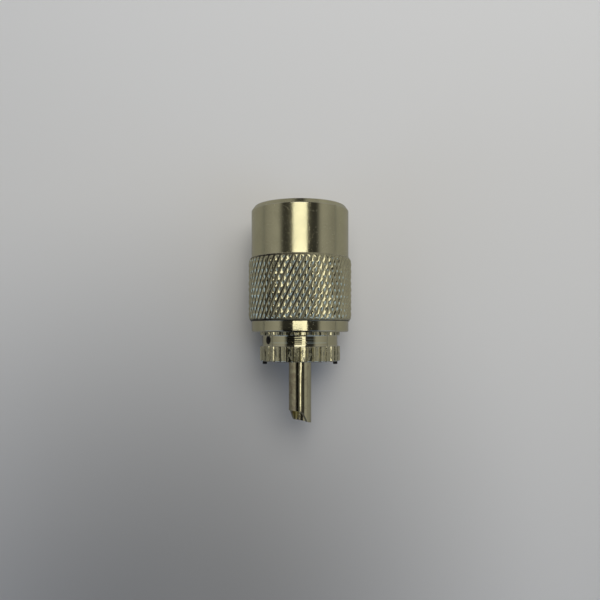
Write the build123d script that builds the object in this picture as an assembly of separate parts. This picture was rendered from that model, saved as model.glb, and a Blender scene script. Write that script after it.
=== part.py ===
from build123d import *
import os
from math import cos, pi, radians, sin, tan

# Screw-on coaxial antenna plug of the large threaded type, solder version, in millimetres.
# Z is the axis of the plug, towards the tip of the contact pin. The origin is the middle of the
# rear end, which the coupling ring and the plug body share while the ring is drawn back.

# The thread that couples the plug to its socket, 5/8 inch with 24 turns to the inch
thread_major_diameter = 15.875
thread_pitch = 25.4 / 24
thread_height_share = 1.0825
thread_crest_clearance = 0.08

# Plug body, lengths along the axis from the rear end forwards
barrel_length = 10.3
body_thread_length = 3.2
waist_length = 7.7
collar_length = 1.6
neck_length = 1.88
rim_length = 2.62
barrel_diameter = 12.8
waist_clearance = 0.3
collar_clearance = 0.26
neck_diameter = 13.4
rim_clearance = 0.21
edge_chamfer = 0.25
cable_bore_diameter = 10.13
cable_bore_length = 17.9
inner_bore_diameter = 9.0
bore_lead_in = 0.5

# Solder holes through the rear barrel
solder_hole_count = 4
solder_hole_diameter = 3.0
solder_hole_place = 5.2

# Straight serrations on the collar and the rim
tooth_count = 38
tooth_depth = 0.26
tooth_land_share = 0.6

# Locating tabs on the front of the rim
tab_count = 2
tab_height = 0.6
tab_width = 1.1
tab_wall = 0.75
tab_edge_gap = 0.22

# Stake mark punched into the neck
stake_diameter = 1.2
stake_depth = 0.55
stake_overshoot = 0.02
stake_angle = -35.0
stake_share_of_neck = 0.43

# Coupling ring
ring_length = 22.2
sleeve_wall = 0.7125
sleeve_length = 9.07
ring_end_chamfer = 0.54
ring_end_chamfer_length = 0.77
front_edge_chamfer = 0.2
lip_length = 2.0
lip_clearance = 0.2
relief_clearance = 0.12
ring_stop_gap = 0.2

# Diamond knurl on the coupling ring
knurl_rise = 0.55
knurl_length = 11.23
knurl_depth = 0.35
knurl_starts = 52
knurl_angle = 27.0
knurl_foot_step = 0.05

# Insulator between the body and the pin
insulator_diameter = 10.9
insulator_length = 4.2
insulator_recess = 0.8
insulator_clearance = 0.02
web_length = 1.2
hub_diameter = 7.4
hub_rear_length = 2.0

# Contact pin, a tube open at both ends
pin_diameter = 4.0
pin_seat_diameter = 5.0
pin_bore_diameter = 2.9
pin_reach = 10.75
pin_clearance = 0.01
pin_flange_diameter = 6.0
pin_flange_length = 0.7

# Cuts at the tip of the pin: the end is askew, and a notch with a flat floor and a steep side
# opens the wall for the solder
tip_slope = 12.6
tip_slope_direction = 147.0
notch_direction = -40.0
notch_floor_drop = 1.9
notch_floor_edge = 0.95
notch_side_slope = 63.0
cutter_size = (30, 30, 30)

# Places along the axis
body_thread_z = barrel_length
waist_z = body_thread_z + body_thread_length
collar_z = waist_z + waist_length
neck_z = collar_z + collar_length
rim_z = neck_z + neck_length
front_z = rim_z + rim_length
insulator_front_z = front_z - insulator_recess
insulator_rear_z = insulator_front_z - insulator_length
web_rear_z = insulator_rear_z - web_length
hub_rear_z = web_rear_z - hub_rear_length
pin_rear_z = hub_rear_z - pin_flange_length
pin_tip_z = front_z + pin_reach
ring_thread_z = waist_z + ring_stop_gap

# Radii that mating pieces share
thread_major_radius = thread_major_diameter / 2
thread_minor_radius = thread_major_radius - thread_height_share * thread_pitch / 2
body_thread_radius = thread_major_radius - thread_crest_clearance
barrel_radius = barrel_diameter / 2
waist_radius = thread_minor_radius - waist_clearance
collar_radius = thread_minor_radius - collar_clearance
neck_radius = neck_diameter / 2
rim_radius = thread_minor_radius - rim_clearance
lip_radius = barrel_radius + lip_clearance
relief_radius = thread_major_radius + relief_clearance
cable_bore_radius = cable_bore_diameter / 2
inner_bore_radius = inner_bore_diameter / 2
insulator_radius = insulator_diameter / 2
seat_radius = insulator_radius + insulator_clearance
hub_radius = hub_diameter / 2
hub_hole_radius = hub_radius + insulator_clearance
pin_radius = pin_diameter / 2
pin_seat_radius = pin_seat_diameter / 2
pin_hole_radius = pin_seat_radius + pin_clearance
sleeve_radius = thread_major_radius + sleeve_wall
knurl_radius = sleeve_radius + knurl_rise


def turned(*outline):
    """A solid turned from an outline of (radius, height) points."""
    return revolve(make_face(Polyline(*[(r, 0, z) for r, z in outline], close=True)), Axis.Z)


def turned_faces(*outline):
    """The open skin that an outline of (radius, height) points sweeps round the axis."""
    points = [Vector(r, 0, z) for r, z in outline]
    return [Face.revolve(Edge.make_line(a, b), 360, Axis.Z) for a, b in zip(points, points[1:])]


def at(radius, angle, height):
    """The point at a radius, an angle in radians and a height."""
    return Vector(radius * cos(angle), radius * sin(angle), height)


def flat(*corners):
    """A flat face between corners."""
    return Face(Wire.make_polygon(corners, close=True))


def serrated_disc(radius, low, high):
    """A disc with straight teeth round its edge, each with a flat land between two flanks."""
    pitch = 2 * pi / tooth_count
    half_land = pitch * tooth_land_share / 2
    outline = []
    for tooth in range(tooth_count):
        middle = tooth * pitch
        outline.append(at(radius, middle - half_land, low))
        outline.append(at(radius, middle + half_land, low))
        outline.append(at(radius - tooth_depth, middle + pitch / 2, low))
    return extrude(make_face(Polyline(*outline, close=True)), high - low, (0, 0, 1))


def solder_holes():
    """Round holes through the wall of the rear barrel, square to each other."""
    hole = Cylinder(solder_hole_diameter / 2, barrel_radius, align=(Align.CENTER, Align.CENTER, Align.MIN))
    across = Pos(0, 0, solder_hole_place) * Rot(0, 90, 0) * hole
    turn = 360 / solder_hole_count
    return Part() + [Rot(0, 0, turn * (place + 0.5)) * across for place in range(solder_hole_count)]


def locating_tabs():
    """Small tabs that stand on the front of the rim and key into the socket."""
    outer = rim_radius - tooth_depth - tab_edge_gap
    band = turned(
        (outer - tab_wall, front_z - tab_height),
        (outer, front_z - tab_height),
        (outer, front_z + tab_height),
        (outer - tab_wall, front_z + tab_height),
    )
    cutter = Box(rim_radius, tab_width, 2 * tab_height, align=(Align.MIN, Align.CENTER, Align.CENTER))
    cutters = [Rot(0, 0, 360 / tab_count * turn) * Pos(0, 0, front_z) * cutter for turn in range(tab_count)]
    return band & (Part() + cutters)


def stake_mark():
    """The cone that a punch leaves in the side of the neck."""
    height = neck_z + stake_share_of_neck * neck_length
    cone = Cone(0, stake_diameter / 2, stake_depth, align=(Align.CENTER, Align.CENTER, Align.MIN))
    tip = neck_radius + stake_overshoot - stake_depth
    return Rot(0, 0, stake_angle) * Pos(tip, 0, height) * Rot(0, 90, 0) * cone


def plug_body():
    """The body, turned from one bar, with its serrations, tabs, solder holes and stepped bore."""
    root = neck_radius - tooth_depth
    outside = turned(
        (0, 0),
        (barrel_radius - edge_chamfer, 0),
        (barrel_radius, edge_chamfer),
        (barrel_radius, body_thread_z),
        (body_thread_radius - edge_chamfer, body_thread_z),
        (body_thread_radius, body_thread_z + edge_chamfer),
        (body_thread_radius, waist_z - edge_chamfer),
        (body_thread_radius - edge_chamfer, waist_z),
        (waist_radius, waist_z),
        (waist_radius, collar_z),
        (root, collar_z),
        (root, neck_z),
        (neck_radius, neck_z),
        (neck_radius, rim_z),
        (root, rim_z),
        (root, front_z),
        (0, front_z),
    )
    bore = turned(
        (0, 0),
        (cable_bore_radius + bore_lead_in, 0),
        (cable_bore_radius, bore_lead_in),
        (cable_bore_radius, cable_bore_length),
        (inner_bore_radius, cable_bore_length),
        (inner_bore_radius, web_rear_z),
        (hub_hole_radius, web_rear_z),
        (hub_hole_radius, insulator_rear_z),
        (seat_radius, insulator_rear_z),
        (seat_radius, front_z),
        (0, front_z),
    )
    collar = serrated_disc(collar_radius, collar_z, neck_z)
    rim = serrated_disc(rim_radius, rim_z, front_z)
    return outside + collar + rim + locating_tabs() - bore - solder_holes() - stake_mark()


def knurl_rows():
    """How many half diamonds stand above each other between the two ends of the knurl."""
    pitch = 2 * pi * knurl_radius / knurl_starts
    return max(2, round(2 * knurl_length * tan(radians(knurl_angle)) / pitch))


def knurl_skin():
    """The diamond knurl as flat faces: four-sided points in crossing rows, cut off at 45 degrees."""
    root = knurl_radius - knurl_depth
    step = 2 * pi / knurl_starts
    foot = (sleeve_radius + knurl_foot_step) / cos(step / 2)
    rows = knurl_rows()
    low = sleeve_length + (root - foot)
    row_height = (knurl_length - 2 * (root - foot)) / rows
    faces = []

    def corner(row, index):
        return at(root, (index + (row % 2) / 2) * step, low + row * row_height)

    def point(row, index, shift):
        return at(knurl_radius, (index + (row % 2) / 2 + 0.5) * step, low + row * row_height + shift)

    def neighbour(row, index, side):
        return corner(row + side, index + row % 2)

    for index in range(knurl_starts):
        for row in range(rows + 1):
            left, right = corner(row, index), corner(row, index + 1)
            shift = knurl_depth if row == 0 else -knurl_depth if row == rows else 0.0
            top = point(row, index, shift)
            for side in (-1, 1):
                if 0 <= row + side <= rows:
                    end = neighbour(row, index, side)
                    faces += [flat(left, top, end), flat(right, top, end)]
            if row in (0, rows):
                faces.append(flat(left, top, right))
    for row, height in ((0, sleeve_length), (rows, sleeve_length + knurl_length)):
        feet = [at(foot, (index + (row % 2) / 2) * step, height) for index in range(knurl_starts + 1)]
        for index in range(knurl_starts):
            faces.append(flat(feet[index], feet[index + 1], corner(row, index + 1), corner(row, index)))
        rim = Wire.make_polygon(feet[:-1], close=True)
        hole = Wire.make_circle(sleeve_radius, Plane((0, 0, height)))
        faces.append(Face(rim, [hole]))
    return faces


def coupling_ring():
    """The ring as one closed skin: the turned outside, the knurl and the stepped bore."""
    knurl_end = sleeve_length + knurl_length
    rear = turned_faces(
        (sleeve_radius, sleeve_length),
        (sleeve_radius, ring_end_chamfer_length),
        (sleeve_radius - ring_end_chamfer, 0),
        (lip_radius + edge_chamfer, 0),
        (lip_radius, edge_chamfer),
        (lip_radius, lip_length),
        (relief_radius, lip_length),
        (relief_radius, ring_thread_z),
        (thread_minor_radius, ring_thread_z),
        (thread_minor_radius, ring_length - edge_chamfer),
        (thread_minor_radius + edge_chamfer, ring_length),
        (sleeve_radius - front_edge_chamfer, ring_length),
        (sleeve_radius, ring_length - front_edge_chamfer),
        (sleeve_radius, knurl_end),
    )
    return Solid(Shell(rear + knurl_skin()))


def insulator():
    """The moulded disc in the front of the body, with a hub that reaches back through the web."""
    return turned(
        (pin_hole_radius, hub_rear_z),
        (hub_radius, hub_rear_z),
        (hub_radius, insulator_rear_z),
        (insulator_radius, insulator_rear_z),
        (insulator_radius, insulator_front_z),
        (pin_hole_radius, insulator_front_z),
    )


def half_space_above(height, slope, direction):
    """A large block whose flat underside crosses the axis at a height and rises towards a direction."""
    block = Box(*cutter_size, align=(Align.CENTER, Align.CENTER, Align.MIN))
    return Pos(0, 0, height) * Rot(0, 0, direction) * Rot(0, -slope, 0) * block


def centre_pin():
    """The hollow contact pin: a flange and a thicker seat in the insulator, an askew end and a notch."""
    bore = pin_bore_diameter / 2
    tube = turned(
        (bore, pin_rear_z),
        (pin_flange_diameter / 2, pin_rear_z),
        (pin_flange_diameter / 2, hub_rear_z),
        (pin_seat_radius, hub_rear_z),
        (pin_seat_radius, insulator_front_z),
        (pin_radius, insulator_front_z),
        (pin_radius, pin_tip_z + pin_diameter),
        (bore, pin_tip_z + pin_diameter),
    )
    askew_end = half_space_above(pin_tip_z, tip_slope, tip_slope_direction)
    floor_z = pin_tip_z - notch_floor_drop
    side_z = floor_z + notch_floor_edge * tan(radians(notch_side_slope))
    notch = half_space_above(floor_z, 0, 0) & half_space_above(side_z, -notch_side_slope, notch_direction)
    return tube - askew_end - notch


os.makedirs("parts", exist_ok=True)
for name, make in (
    ("coupling_ring", coupling_ring),
    ("plug_body", plug_body),
    ("insulator", insulator),
    ("centre_pin", centre_pin),
):
    export_step(make(), f"parts/{name}.step")
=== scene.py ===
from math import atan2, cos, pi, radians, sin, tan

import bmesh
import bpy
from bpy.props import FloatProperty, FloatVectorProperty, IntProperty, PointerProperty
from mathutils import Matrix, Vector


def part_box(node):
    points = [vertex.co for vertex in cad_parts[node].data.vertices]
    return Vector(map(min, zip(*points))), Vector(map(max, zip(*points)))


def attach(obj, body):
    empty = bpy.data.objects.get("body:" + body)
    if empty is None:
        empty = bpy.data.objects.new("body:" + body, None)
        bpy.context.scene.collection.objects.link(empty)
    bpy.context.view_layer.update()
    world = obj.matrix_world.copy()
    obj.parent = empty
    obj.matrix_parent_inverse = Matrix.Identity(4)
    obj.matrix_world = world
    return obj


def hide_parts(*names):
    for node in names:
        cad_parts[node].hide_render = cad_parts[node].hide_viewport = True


bl_info = {
    "name": "Coaxial antenna plug",
    "version": (1, 0, 0),
    "blender": (4, 5, 0),
    "location": "3D View > Sidebar > Antenna plug",
    "description": "Makes a screw-on coaxial antenna plug with its knurled ring, body, insulator and pin",
    "category": "Add Mesh",
}

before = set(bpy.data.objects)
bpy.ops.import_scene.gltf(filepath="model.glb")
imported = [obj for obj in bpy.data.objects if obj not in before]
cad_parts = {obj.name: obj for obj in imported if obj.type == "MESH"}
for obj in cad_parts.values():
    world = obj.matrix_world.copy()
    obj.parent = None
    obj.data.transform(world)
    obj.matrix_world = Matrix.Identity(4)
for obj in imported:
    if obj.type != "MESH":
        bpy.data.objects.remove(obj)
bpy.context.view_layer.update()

MM = 0.001
FULL_TURN = 2 * pi
ring_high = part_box("coupling_ring")[1]
disc_low, disc_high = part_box("insulator")
pin_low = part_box("centre_pin")[0]


# Kinds of settings


def plain(name, description, default, **limits):
    """A number."""
    return FloatProperty(name=name, description=description, default=default, **limits)


def size(name, description, default):
    """A length in metres."""
    return plain(name, description, default, min=0.0, precision=5, unit="LENGTH")


def turn(name, description, default):
    """An angle, whose default is given in degrees."""
    return plain(name, description, radians(default), subtype="ANGLE")


def share(name, description, default):
    """A part of one."""
    return plain(name, description, default, min=0.0, max=1.0, subtype="FACTOR")


def power(name, description, default):
    """The power of a lamp."""
    return plain(name, description, default, unit="POWER")


def number(name, description, default):
    """A count."""
    return IntProperty(name=name, description=description, default=default, min=1)


def triple(name, description, default, **limits):
    """Three numbers."""
    return FloatVectorProperty(name=name, description=description, default=default, size=3, **limits)


def colour(name, description, default):
    """A colour."""
    return triple(name, description, default, min=0.0, max=1.0, subtype="COLOR")


def spot(name, description, default):
    """A place in metres."""
    return triple(name, description, default, subtype="TRANSLATION", unit="LENGTH")


class ThreadSizes(bpy.types.PropertyGroup):
    """Sizes of the screw threads."""

    coupling_pitch: size("Coupling pitch", "From turn to turn of the coupling thread", 25.4 * MM / 24)
    coupling_minor: size("Coupling minor radius", "Crest radius of the ring's inside thread", 7.3647 * MM)
    coupling_major: size("Coupling major radius", "Root radius of the ring's inside thread", 7.9375 * MM)
    body_major: size("Body thread radius", "Crest radius of the body's outside thread", 7.8575 * MM)
    body_root: size("Body thread root", "Root radius of the body's outside thread", 7.1647 * MM)
    cable_pitch: size("Cable pitch", "From turn to turn of the thread in the cable entry", 25.4 * MM / 28)
    cable_minor: size("Cable minor radius", "Crest radius of the thread in the cable entry", 5.065 * MM)
    cable_depth: size("Cable thread depth", "Depth of the thread in the cable entry", 0.42 * MM)
    cable_length: size("Cable thread length", "How far the thread reaches into the cable entry", 9.2 * MM)
    run_out: size("Run-out", "Length over which a thread fades at its ends", 0.5 * MM)


class RingSizes(bpy.types.PropertyGroup):
    """Sizes of the coupling ring."""

    length: size("Length", "Length of the ring", ring_high.z)
    sleeve_radius: size("Sleeve radius", "Radius of the smooth sleeve", 8.65 * MM)
    sleeve_length: size("Sleeve length", "Length of the smooth sleeve", 9.07 * MM)
    end_chamfer: size("Rear chamfer", "Height of the chamfer at the rear end", 0.54 * MM)
    end_chamfer_length: size("Rear chamfer length", "Length of the chamfer at the rear end", 0.77 * MM)
    front_chamfer: size("Front chamfer", "Chamfer at the front end", 0.2 * MM)
    bore_chamfer: size("Bore chamfer", "Chamfer at the ends of the bore", 0.25 * MM)
    lip_radius: size("Lip radius", "Bore of the lip at the rear", 6.6 * MM)
    lip_length: size("Lip length", "Length of the lip", 2.0 * MM)
    relief_radius: size("Relief radius", "Bore behind the thread", 8.0575 * MM)
    thread_start: size("Thread start", "Place where the inside thread starts", 13.7 * MM)
    knurl_length: size("Knurl length", "Length of the knurled band", 11.23 * MM)
    knurl_crest: size("Knurl crest radius", "Radius of the tips of the diamonds", 9.2 * MM)
    knurl_depth: size("Knurl depth", "Depth of the grooves of the knurl", 0.32 * MM)
    knurl_foot: size("Knurl foot radius", "Radius where the ends of the knurl meet the ring", 8.716 * MM)
    knurl_starts: number("Knurl starts", "Diamonds round the ring", 52)
    knurl_rows: number("Knurl rows", "Half diamonds from end to end", 10)
    knurl_cut_share: share("Knurl cut share", "Depth of the shallow grooves as a part of the deep ones", 0.6)
    knurl_wear: share("Knurl wear", "How unevenly the tips of the diamonds are filled", 0.28)


class BodySizes(bpy.types.PropertyGroup):
    """Sizes of the plug body."""

    barrel_radius: size("Barrel radius", "Radius of the rear barrel", 6.4 * MM)
    thread_start: size("Thread start", "Place where the outside thread starts", 10.3 * MM)
    waist_start: size("Waist start", "Place where the waist starts", 13.5 * MM)
    waist_radius: size("Waist radius", "Radius of the waist", 7.0647 * MM)
    collar_start: size("Collar start", "Place where the serrated collar starts", 21.2 * MM)
    collar_radius: size("Collar radius", "Radius of the serrated collar", 7.1047 * MM)
    neck_start: size("Neck start", "Place where the neck starts", 22.8 * MM)
    neck_radius: size("Neck radius", "Radius of the neck", 6.7 * MM)
    rim_start: size("Rim start", "Place where the serrated rim starts", 24.68 * MM)
    rim_radius: size("Rim radius", "Radius of the serrated rim", 7.1547 * MM)
    front: size("Front", "Place of the front face", 27.3 * MM)
    bore_end: size("Bore end", "Depth of the bore for the cable", 17.9 * MM)
    inner_bore: size("Inner bore radius", "Radius of the bore for the cable's core", 4.5 * MM)
    web_start: size("Web start", "Place of the web behind the insulator", 21.1 * MM)
    hub_hole: size("Hub hole radius", "Radius of the hole in the web", 3.72 * MM)
    seat_start: size("Seat start", "Place of the floor of the insulator's seat", 22.3 * MM)
    seat_radius: size("Seat radius", "Radius of the insulator's seat", 5.47 * MM)
    lead_in: size("Lead-in", "Chamfer at the mouth of the cable bore", 0.5 * MM)
    chamfer: size("Chamfer", "Chamfer at the rear edge of the barrel", 0.25 * MM)
    teeth: number("Teeth", "Serrations round the collar and the rim", 38)
    tooth_depth: size("Tooth depth", "Depth of the serrations", 0.26 * MM)
    land_share: share("Land share", "Part of each serration that stays round", 0.6)
    tab_radius: size("Tab radius", "Outer radius of the locating tabs", 6.675 * MM)
    tab_wall: size("Tab wall", "Thickness of the locating tabs", 0.75 * MM)
    tab_width: size("Tab width", "Width of the locating tabs", 1.1 * MM)
    tab_height: size("Tab height", "How far the locating tabs stand out", 0.6 * MM)
    tab_root: size("Tab root", "How far the locating tabs reach into the rim", 0.3 * MM)
    stake_angle: turn("Stake angle", "Where the punched mark is round the neck", -35.0)
    stake_place: size("Stake place", "Where the punched mark is along the neck", 23.61 * MM)
    stake_width: size("Stake width", "Width of the punched mark", 1.2 * MM)
    stake_depth: size("Stake depth", "Depth of the punched mark", 0.55 * MM)
    hole_place: size("Hole place", "Where the solder holes are along the barrel", 5.2 * MM)
    hole_radius: size("Hole radius", "Radius of the solder holes", 1.5 * MM)


class CoreSizes(bpy.types.PropertyGroup):
    """Sizes of the insulator and the contact pin."""

    disc_radius: size("Disc radius", "Radius of the insulator", disc_high.x)
    disc_start: size("Disc start", "Place of the rear face of the disc", 22.3 * MM)
    disc_front: size("Disc front", "Place of the front face of the disc", disc_high.z)
    hub_start: size("Hub start", "Place of the rear end of the hub", disc_low.z)
    hub_radius: size("Hub radius", "Radius of the hub", 3.7 * MM)
    moat: size("Moat", "Depth of the moulded groove round the hub", 0.08 * MM)
    pin_hole: size("Pin hole radius", "Radius of the hole for the pin", 2.51 * MM)
    pin_seat: size("Pin seat radius", "Radius of the pin inside the insulator", 2.5 * MM)
    pin_radius: size("Pin radius", "Radius of the contact pin", 2.0 * MM)
    pin_bore: size("Pin bore radius", "Radius of the bore of the pin", 1.45 * MM)
    pin_start: size("Pin start", "Place of the rear end of the pin", pin_low.z)
    flange_radius: size("Flange radius", "Radius of the flange of the pin", 3.0 * MM)
    flange_length: size("Flange length", "Length of the flange of the pin", 0.7 * MM)
    tip: size("Tip", "Place where the askew end crosses the axis", 38.05 * MM)
    tip_slope: turn("Tip slope", "Slope of the askew end", 12.6)
    tip_direction: turn("Tip direction", "Direction in which the askew end rises", 147.0)
    notch_drop: size("Notch depth", "How far the floor of the notch lies below the tip", 1.9 * MM)
    notch_edge: size("Notch edge", "Distance of the foot of the notch's side from the axis", 0.95 * MM)
    notch_side: turn("Notch side", "Slope of the notch's side", 63.0)
    notch_direction: turn("Notch direction", "Side towards which the notch rises", 140.0)
    notch_fillet: size("Notch fillet", "Rounding at the foot of the notch's side", 0.9 * MM)


class Finishes(bpy.types.PropertyGroup):
    """Colours and polish of the surfaces."""

    nickel: colour("Nickel", "Colour of the nickel plate", (0.7, 0.655, 0.42))
    worn: colour("Worn edge", "Colour of the worn edges", (0.8, 0.77, 0.66))
    # The grime colour also paints shade into grooves, creases, the pin's bore and the punched mark, and
    # darkens the tabs
    grime_and_shade: colour("Grime", "Colour of the dirt in the grooves", (0.026, 0.022, 0.017))
    tarnish: colour("Tarnish", "Colour of the brown spots on the pin", (0.3, 0.2, 0.12))
    resin: colour("Resin", "Colour of the insulator", (0.16, 0.075, 0.035))
    paper: colour("Paper", "Colour of the sheet that the plug lies on", (0.82, 0.8, 0.76))
    ring_roughness: share("Ring roughness", "Roughness of the plate on the ring", 0.16)
    body_roughness: share("Body roughness", "Roughness of the plate on the body", 0.06)
    pin_roughness: share("Pin roughness", "Roughness of the plate on the pin", 0.07)
    ring_lines: share("Ring lines", "Strength of the tool lines on the ring", 0.5)
    body_lines: share("Body lines", "Strength of the tool lines on the body", 0.1)
    pin_lines: share("Pin lines", "Strength of the tool lines on the pin", 0.2)
    pin_spots: share("Pin spots", "Strength of the brown spots on the pin", 0.6)


class StageSettings(bpy.types.PropertyGroup):
    """The light, the paper and the camera."""

    key_place: spot("Lamp place", "Middle of the soft lamp", (0.0, -0.45, -0.175))
    key_width: size("Lamp width", "Width of the soft lamp", 0.26)
    key_height: size("Lamp height", "Height of the soft lamp", 0.54)
    key_power: power("Lamp power", "Power of the soft lamp", 0.68)
    key_tint: colour("Lamp colour", "Colour of the soft lamp", (1.0, 0.98, 0.9))
    fill_place: spot("Fill place", "Middle of the lamp for the paper", (-0.1, -0.3, -0.16))
    fill_side: size("Fill side", "Width and height of the lamp for the paper", 0.25)
    fill_power: power("Fill power", "Power of the lamp for the paper", 0.5)
    card_distance: size("Card distance", "Distance of the cards from the axis", 112 * MM)
    card_glow: share("Card glow", "Brightness of the two grey cards", 0.11)
    paper_side: size("Paper side", "Width and height of the sheet", 1.6)
    paper_place: size("Paper place", "Place of the middle of the sheet along the axis", 0.02)
    paper_gap: size("Paper gap", "Gap between the tips of the knurl and the sheet", 0.02 * MM)
    room: plain("Room light", "Brightness of the pale room", 0.34)
    shade: plain("Room shade", "Brightness of the room beside the lamp", 0.03)
    shade_start: turn("Shade start", "Where the dark room beside the lamp starts to fade", 38.0)
    shade_end: turn("Shade end", "Where the dark room beside the lamp ends", 52.0)
    back_share: share("Back light", "Brightness of the room beyond the paper, as a part of the rest", 0.68)
    back_start: turn("Back start", "Where the room starts to darken towards the paper", 60.0)
    back_end: turn("Back end", "Where the room beyond the paper starts", 95.0)
    sky: colour("Sky", "Light that comes in from the pin's side", (0.45, 0.6, 0.92))
    sky_start: turn("Sky start", "Where the sky beside the lamp starts", 8.0)
    sky_end: turn("Sky end", "Where the sky is full", 18.0)
    camera_distance: size("Camera distance", "Distance of the camera from the axis", 105.8 * MM)
    camera_place: size("Camera place", "Place of the camera along the axis", 22.2 * MM)
    camera_shift: share("Camera shift", "How far the picture is shifted to the rear of the plug", 32 / 600)
    lens: plain("Lens", "Focal length", 35.4, unit="CAMERA")


# Node trees


NODE_WIDTH = 200
NODE_HEIGHT = 260
NODES_A_ROW = 12


class Board:
    """Adds nodes to a tree and wires them."""

    def __init__(self, tree):
        self.tree = tree
        self.made = 0

    def node(self, kind, **settings):
        """Add a node and set its properties."""
        made = self.tree.nodes.new(kind)
        made.location = (NODE_WIDTH * (self.made % NODES_A_ROW), -NODE_HEIGHT * (self.made // NODES_A_ROW))
        self.made += 1
        for name, value in settings.items():
            setattr(made, name, value)
        return made

    def feed(self, socket, value):
        """Link a socket to another one, or set its value."""
        if isinstance(value, bpy.types.NodeSocket):
            self.tree.links.new(value, socket)
        elif value is not None:
            socket.default_value = value

    def wire(self, made, sockets):
        """Feed sockets that are given by name. Gives the node's first output."""
        for name, value in sockets.items():
            self.feed(made.inputs[name], value)
        return made.outputs[0]

    def call(self, kind, *values, **settings):
        """Add a node and feed its sockets in their order. Gives its first output."""
        made = self.node(kind, **settings)
        for socket, value in zip(made.inputs, values):
            self.feed(socket, value)
        return made.outputs[0]

    def math(self, operation, *values):
        return self.call("ShaderNodeMath", *values, operation=operation)

    def chain(self, operation, first, *rest):
        """Bring further values into the first, one by one."""
        for value in rest:
            first = self.math(operation, first, value)
        return first

    def plus(self, *values):
        return self.chain("ADD", *values)

    def minus(self, *values):
        return self.chain("SUBTRACT", *values)

    def times(self, *values):
        return self.chain("MULTIPLY", *values)

    def over(self, *values):
        return self.chain("DIVIDE", *values)

    def least(self, *values):
        return self.chain("MINIMUM", *values)

    def most(self, *values):
        return self.chain("MAXIMUM", *values)

    def weigh(self, total, *shares):
        """Add further values, each times its own weight."""
        for value, weight in shares:
            total = self.math("MULTIPLY_ADD", value, weight, total)
        return total

    def ramp(self, value, low, high, start=0.0, end=1.0, smooth=False):
        """Give start where the value is low and end where it is high."""
        kind = "SMOOTHSTEP" if smooth else "LINEAR"
        return self.call("ShaderNodeMapRange", value, low, high, start, end, interpolation_type=kind)

    def split(self, vector):
        made = self.node("ShaderNodeSeparateXYZ")
        self.feed(made.inputs[0], vector)
        return made.outputs[0], made.outputs[1], made.outputs[2]

    def vector(self, x, y, z):
        return self.call("ShaderNodeCombineXYZ", x, y, z)

    def far(self, x, y):
        """The distance from the point (0, 0)."""
        return self.math("SQRT", self.plus(self.times(x, x), self.times(y, y)))

    def noise(self, place, scale, detail=3.0, roughness=0.5):
        sockets = {"Vector": place, "Scale": scale, "Detail": detail, "Roughness": roughness}
        return self.wire(self.node("ShaderNodeTexNoise"), sockets)

    def blend(self, factor, first, second):
        """Mix two colours."""
        made = self.node("ShaderNodeMix", data_type="RGBA")
        sockets = {socket.identifier: socket for socket in made.inputs}
        self.feed(sockets["Factor_Float"], factor)
        self.feed(sockets["A_Color"], first)
        self.feed(sockets["B_Color"], second)
        return next(socket for socket in made.outputs if socket.identifier == "Result_Color")

    def here(self):
        """The place of each point of a mesh."""
        return self.call("GeometryNodeInputPosition")

    def put(self, geometry, place=None, shift=None):
        """Put the points of a mesh in a place, or shift them."""
        return self.call("GeometryNodeSetPosition", geometry, None, place, shift)

    def polar(self, radius, angle, height):
        """A place at an angle round the axis."""
        x = self.times(radius, self.math("COSINE", angle))
        y = self.times(radius, self.math("SINE", angle))
        return self.vector(x, y, height)

    def note(self, geometry, name, value):
        """Write a mark on the points of a mesh."""
        made = self.node("GeometryNodeStoreNamedAttribute", data_type="FLOAT", domain="POINT")
        return self.wire(made, {"Geometry": geometry, "Name": name, "Value": value})

    def noted(self, name):
        """Read a mark from the points of a mesh."""
        return self.wire(self.node("GeometryNodeInputNamedAttribute", data_type="FLOAT"), {"Name": name})

    def sink(self, geometry, here, depth):
        """Move the points of a mesh towards the axis."""
        level = self.call("ShaderNodeVectorMath", here, (1.0, 1.0, 0.0), operation="MULTIPLY")
        outward = self.call("ShaderNodeVectorMath", level, operation="NORMALIZE")
        scale = self.node("ShaderNodeVectorMath", operation="SCALE")
        self.wire(scale, {"Vector": outward, "Scale": self.times(depth, -1.0)})
        return self.put(geometry, shift=scale.outputs[0])


def shape_tree(name, counts, sizes):
    """A new geometry tree with named inputs. Gives the board and its sockets by name."""
    tree = bpy.data.node_groups.new(name, "GeometryNodeTree")
    for way in ("INPUT", "OUTPUT"):
        tree.interface.new_socket("Geometry", in_out=way, socket_type="NodeSocketGeometry")
    labels = {label: "Int" for label in counts}
    labels.update({label: "Float" for label in sizes})
    labels["Material"] = "Material"
    for label, kind in labels.items():
        tree.interface.new_socket(label, in_out="INPUT", socket_type="NodeSocket" + kind)
    board = Board(tree)
    start = board.node("NodeGroupInput")
    return board, {socket.name: socket for socket in start.outputs if socket.name}


def close_tree(board, geometry, material):
    """Realize the instances, give them their material and end the tree."""
    real = board.call("GeometryNodeRealizeInstances", geometry)
    end = board.node("NodeGroupOutput")
    board.feed(end.inputs[0], board.call("GeometryNodeSetMaterial", real, None, material))
    return board.tree


def grow(tree, seed, **inputs):
    """Run a geometry tree on a mesh and give the plain mesh that comes out."""
    carrier = add_object("carrier", seed)
    modifier = carrier.modifiers.new(tree.name, "NODES")
    modifier.node_group = tree
    for item in tree.interface.items_tree:
        key = item.name.lower().replace(" ", "_")
        if item.in_out == "INPUT" and key in inputs:
            modifier[item.identifier] = inputs[key]
    return settle(carrier)


def settle(carrier):
    """Turn an object and its modifiers into a plain mesh and remove the object."""
    graph = bpy.context.evaluated_depsgraph_get()
    made = bpy.data.meshes.new_from_object(carrier.evaluated_get(graph))
    carrier.modifiers.clear()
    bpy.data.objects.remove(carrier)
    return made


def add_object(name, made):
    """Link a mesh, a lamp or a camera to the scene as an object at the origin."""
    thing = bpy.data.objects.new(name, made)
    bpy.context.scene.collection.objects.link(thing)
    return thing


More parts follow.
